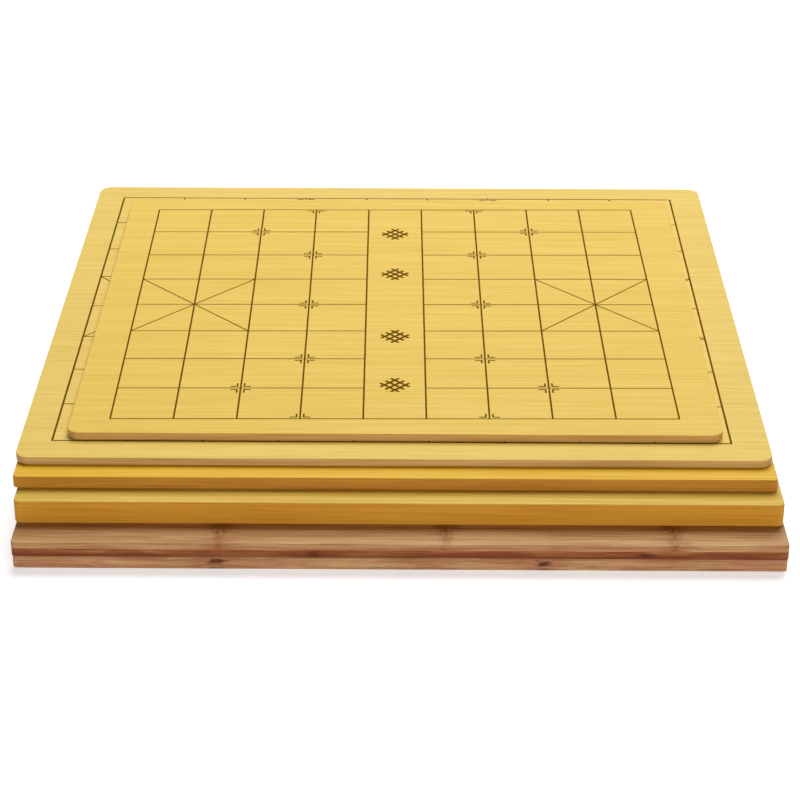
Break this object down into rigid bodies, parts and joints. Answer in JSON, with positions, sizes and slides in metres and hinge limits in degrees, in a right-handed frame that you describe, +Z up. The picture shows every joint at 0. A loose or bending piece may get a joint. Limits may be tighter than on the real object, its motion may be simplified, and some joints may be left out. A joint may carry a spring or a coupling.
{
  "type": "folding go board",
  "caption": "Pile of bamboo game boards: loose chess and go boards lying on a thick go board that folds in half on brass end hinges.",
  "frame": {"origin": "under the middle of the pile, on the surface that the folding board lies on", "axes": "+X right along the long edges, +Y to the rear, +Z up"},
  "size_m": [0.4784, 0.4952, 0.051],
  "materials": {
    "tan_bamboo": "satin varnish",
    "dark_bamboo": "satin varnish",
    "caramel_bamboo": "satin varnish",
    "ochre_bamboo": "satin varnish",
    "golden_bamboo": "satin varnish",
    "pale_bamboo": "satin varnish",
    "strap_brass": "brushed and lacquered",
    "screw_brass": "turned",
    "pin_steel": "turned and polished head"
  },
  "bodies": {
    "front_leaf": {"front_leaf_back": "tan_bamboo", "front_leaf_core": "dark_bamboo", "front_leaf_face": "caramel_bamboo", "front_hinge_strap_left": "strap_brass", "front_hinge_strap_right": "strap_brass", "hinge_pin_left": "pin_steel", "hinge_pin_right": "pin_steel", "front_strap_screws": "screw_brass"},
    "rear_leaf": {"rear_leaf_back": "tan_bamboo", "rear_leaf_core": "dark_bamboo", "rear_leaf_face": "caramel_bamboo", "rear_hinge_strap_left": "strap_brass", "rear_hinge_strap_right": "strap_brass", "rear_strap_screws": "screw_brass"},
    "thick_board": {"thick_board_back": "ochre_bamboo", "thick_board_core": "ochre_bamboo", "thick_board_face": "ochre_bamboo"},
    "plain_board": {"plain_board_back": "golden_bamboo", "plain_board_core": "golden_bamboo", "plain_board_face": "golden_bamboo"},
    "thin_board": {"thin_board_back": "pale_bamboo", "thin_board_core": "pale_bamboo", "thin_board_face": "pale_bamboo"},
    "small_board": {"small_board_back": "pale_bamboo", "small_board_core": "pale_bamboo", "small_board_face": "pale_bamboo"}
  },
  "joints": [
    {"name": "leaf_fold", "type": "hinge", "parent": "front_leaf", "child": "rear_leaf", "pos_m": [0, -0.0276, 0.01815], "axis": [1, 0, 0], "range_deg": [0, 180]},
    {"name": "thick_board_lift", "type": "slide", "parent": "front_leaf", "child": "thick_board", "axis": [0, 0, 1], "range_m": [0, 0.74]},
    {"name": "plain_board_lift", "type": "slide", "parent": "thick_board", "child": "plain_board", "axis": [0, 0, 1], "range_m": [0, 0.1]},
    {"name": "thin_board_lift", "type": "slide", "parent": "plain_board", "child": "thin_board", "axis": [0, 0, 1], "range_m": [0, 0.1]},
    {"name": "small_board_lift", "type": "slide", "parent": "thin_board", "child": "small_board", "axis": [0, 0, 1], "range_m": [0, 0.1]}
  ],
  "couplings": [
    {"joint": "thick_board_lift", "follows": "leaf_fold", "m_per_rad": 0.235}
  ]
}
